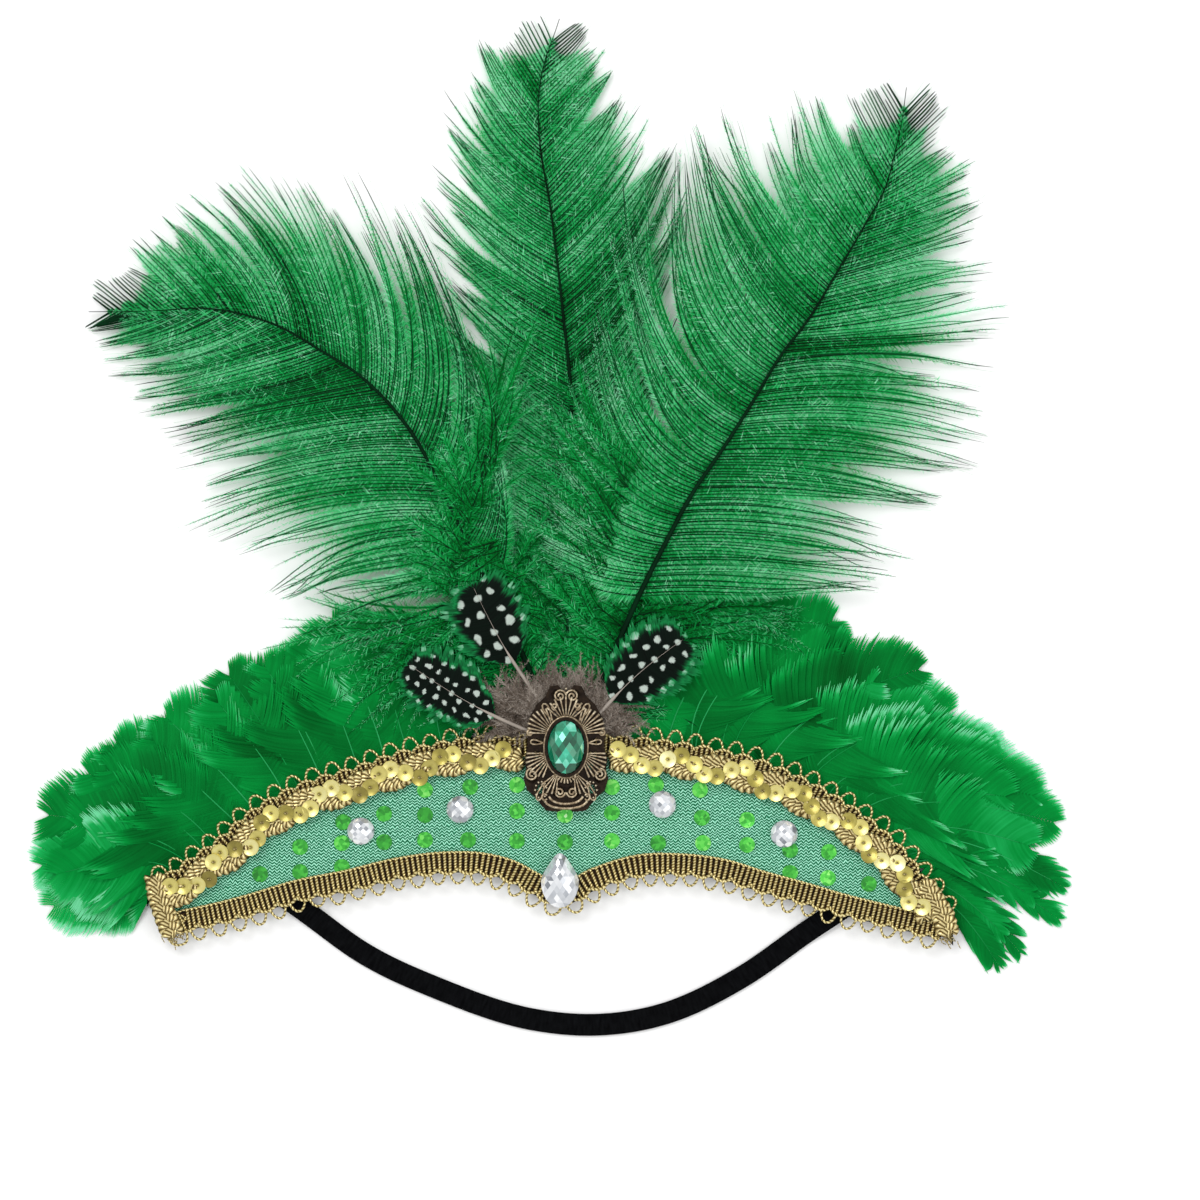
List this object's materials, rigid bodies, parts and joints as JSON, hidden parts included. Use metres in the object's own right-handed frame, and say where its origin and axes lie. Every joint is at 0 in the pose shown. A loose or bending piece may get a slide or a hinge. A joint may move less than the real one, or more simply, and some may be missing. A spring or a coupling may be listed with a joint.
{
  "type": "feather headband",
  "caption": "Costume headband: a curved fabric band on felt with gold braid, sequin cords, stones and a filigree brooch, ostrich, goose and guinea feathers above, and an elastic strap.",
  "frame": {"origin": "centre of the felt backing's back face, the face that lies against the forehead, here lying on the floor", "axes": "+X along the band to the right as seen from its front, +Y from the band up to the plume tips, +Z out of the band's front"},
  "size_m": [0.3408, 0.3321, 0.0141],
  "materials": {
    "felt": "matt black felt",
    "mint_weave": "mint zigzag weave with pale highlights",
    "gold_thread": "antique gold and dark thread braid",
    "sequins": "metallic gold cup sequins on plaited gold cord",
    "bronze": "antiqued dark bronze",
    "green_stone": "faceted green acrylic, foiled back",
    "clear_stone": "faceted clear acrylic, foiled back",
    "ostrich": "fluffy green ostrich barbs on a dark rachis",
    "goose": "satin green goose vanes",
    "guinea": "black-green vane with white dots",
    "elastic": "matt black ribbed elastic"
  },
  "bodies": {
    "root": {"felt_backing": "felt", "fabric_panel": "mint_weave", "lower_gimp_braid": "gold_thread", "upper_gimp_braid": "gold_thread", "sequin_cord_left": "sequins", "sequin_cord_right": "sequins", "brooch_filigree": "bronze", "brooch_stone": "green_stone", "drop_stone": "clear_stone", "round_stone_1": "clear_stone", "round_stone_2": "clear_stone", "round_stone_3": "clear_stone", "round_stone_4": "clear_stone", "plume_left": "ostrich", "plume_centre": "ostrich", "plume_right": "ostrich", "goose_feathers_left": "goose", "goose_feathers_right": "goose", "guinea_feather_top": "guinea", "guinea_feather_left": "guinea", "guinea_feather_right": "guinea", "elastic_strap": "elastic"}
  },
  "joints": []
}
